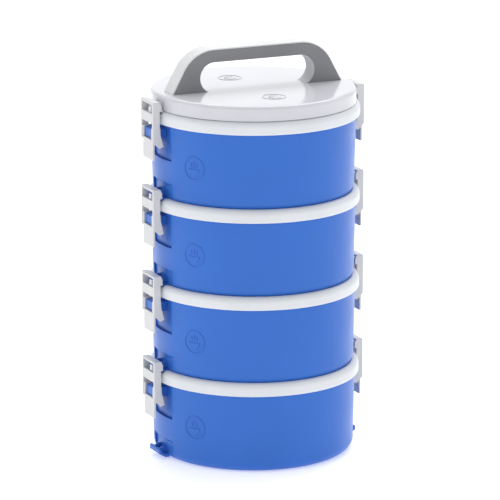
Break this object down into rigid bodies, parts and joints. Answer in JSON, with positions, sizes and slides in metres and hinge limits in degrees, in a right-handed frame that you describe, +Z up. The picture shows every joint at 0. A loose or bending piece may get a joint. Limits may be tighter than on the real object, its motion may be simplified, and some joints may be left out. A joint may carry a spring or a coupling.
{
  "type": "tiffin carrier",
  "caption": "Stacking food carrier: round lidded containers nest in each other, rocker clips on both sides hold the stack, and a loop handle stands on the cover.",
  "frame": {"origin": "centre of the foot that the carrier stands on, at table level", "axes": "+Z up; X runs through the clips and along the handle; -Y is the front"},
  "size_m": [0.1838, 0.17, 0.3317],
  "materials": {
    "container_blue": "satin moulded polypropylene",
    "lid_white": "satin moulded polypropylene",
    "cover_white": "polished",
    "clip_white": "satin moulded",
    "handle_white": "satin moulded",
    "grip_grey": "soft-touch, matt",
    "gasket_silicone": "milky, matt",
    "screw_steel": "zinc-plated"
  },
  "bodies": {
    "tier_1": {"container_1": "container_blue"},
    "tier_2": {"container_2": "container_blue"},
    "lid_body_1": {"lid_1": "lid_white", "lid_gasket_1": "gasket_silicone"},
    "clip_body_1_left": {"clip_1_left": "clip_white"},
    "clip_body_1_right": {"clip_1_right": "clip_white"},
    "tier_3": {"container_3": "container_blue"},
    "lid_body_2": {"lid_2": "lid_white", "lid_gasket_2": "gasket_silicone"},
    "clip_body_2_left": {"clip_2_left": "clip_white"},
    "clip_body_2_right": {"clip_2_right": "clip_white"},
    "tier_4": {"container_4": "container_blue"},
    "lid_body_3": {"lid_3": "lid_white", "lid_gasket_3": "gasket_silicone"},
    "clip_body_3_left": {"clip_3_left": "clip_white"},
    "clip_body_3_right": {"clip_3_right": "clip_white"},
    "lid_body_4": {"lid_4": "lid_white", "lid_gasket_4": "gasket_silicone"},
    "clip_body_4_left": {"clip_4_left": "clip_white"},
    "clip_body_4_right": {"clip_4_right": "clip_white"},
    "cover": {"top_cover": "cover_white", "handle_frame": "handle_white", "handle_grip_front": "grip_grey", "handle_grip_back": "grip_grey", "handle_screws": "screw_steel"}
  },
  "joints": [
    {"name": "tier_2_lift", "type": "slide", "parent": "tier_1", "child": "tier_2", "axis": [0, 0, 1], "range_m": [0, 0.0125]},
    {"name": "lid_1_lift", "type": "slide", "parent": "tier_1", "child": "lid_body_1", "axis": [0, 0, 1], "range_m": [0, 0.005]},
    {"name": "clip_1_left_swing", "type": "hinge", "parent": "tier_1", "child": "clip_body_1_left", "pos_m": [-0.0866, 0, 0.0561], "axis": [0, -1, 0], "range_deg": [0, 25]},
    {"name": "clip_1_right_swing", "type": "hinge", "parent": "tier_1", "child": "clip_body_1_right", "pos_m": [0.0866, 0, 0.0561], "axis": [0, 1, 0], "range_deg": [0, 25]},
    {"name": "tier_3_lift", "type": "slide", "parent": "tier_2", "child": "tier_3", "axis": [0, 0, 1], "range_m": [0, 0.0125]},
    {"name": "lid_2_lift", "type": "slide", "parent": "tier_2", "child": "lid_body_2", "axis": [0, 0, 1], "range_m": [0, 0.005]},
    {"name": "clip_2_left_swing", "type": "hinge", "parent": "tier_2", "child": "clip_body_2_left", "pos_m": [-0.0866, 0, 0.1265], "axis": [0, -1, 0], "range_deg": [0, 25]},
    {"name": "clip_2_right_swing", "type": "hinge", "parent": "tier_2", "child": "clip_body_2_right", "pos_m": [0.0866, 0, 0.1265], "axis": [0, 1, 0], "range_deg": [0, 25]},
    {"name": "tier_4_lift", "type": "slide", "parent": "tier_3", "child": "tier_4", "axis": [0, 0, 1], "range_m": [0, 0.0125]},
    {"name": "lid_3_lift", "type": "slide", "parent": "tier_3", "child": "lid_body_3", "axis": [0, 0, 1], "range_m": [0, 0.005]},
    {"name": "clip_3_left_swing", "type": "hinge", "parent": "tier_3", "child": "clip_body_3_left", "pos_m": [-0.0866, 0, 0.1969], "axis": [0, -1, 0], "range_deg": [0, 25]},
    {"name": "clip_3_right_swing", "type": "hinge", "parent": "tier_3", "child": "clip_body_3_right", "pos_m": [0.0866, 0, 0.1969], "axis": [0, 1, 0], "range_deg": [0, 25]},
    {"name": "cover_lift", "type": "slide", "parent": "tier_4", "child": "cover", "axis": [0, 0, 1], "range_m": [0, 0.0125]},
    {"name": "lid_4_lift", "type": "slide", "parent": "tier_4", "child": "lid_body_4", "axis": [0, 0, 1], "range_m": [0, 0.005]},
    {"name": "clip_4_left_swing", "type": "hinge", "parent": "tier_4", "child": "clip_body_4_left", "pos_m": [-0.0866, 0, 0.2673], "axis": [0, -1, 0], "range_deg": [0, 25]},
    {"name": "clip_4_right_swing", "type": "hinge", "parent": "tier_4", "child": "clip_body_4_right", "pos_m": [0.0866, 0, 0.2673], "axis": [0, 1, 0], "range_deg": [0, 25]}
  ],
  "couplings": [
    {"joint": "lid_1_lift", "follows": "tier_2_lift", "ratio": 0.4},
    {"joint": "clip_1_left_swing", "follows": "tier_2_lift", "rad_per_m": 34.9},
    {"joint": "clip_1_right_swing", "follows": "tier_2_lift", "rad_per_m": 34.9},
    {"joint": "lid_2_lift", "follows": "tier_3_lift", "ratio": 0.4},
    {"joint": "clip_2_left_swing", "follows": "tier_3_lift", "rad_per_m": 34.9},
    {"joint": "clip_2_right_swing", "follows": "tier_3_lift", "rad_per_m": 34.9},
    {"joint": "lid_3_lift", "follows": "tier_4_lift", "ratio": 0.4},
    {"joint": "clip_3_left_swing", "follows": "tier_4_lift", "rad_per_m": 34.9},
    {"joint": "clip_3_right_swing", "follows": "tier_4_lift", "rad_per_m": 34.9},
    {"joint": "lid_4_lift", "follows": "cover_lift", "ratio": 0.4},
    {"joint": "clip_4_left_swing", "follows": "cover_lift", "rad_per_m": 34.9},
    {"joint": "clip_4_right_swing", "follows": "cover_lift", "rad_per_m": 34.9}
  ]
}
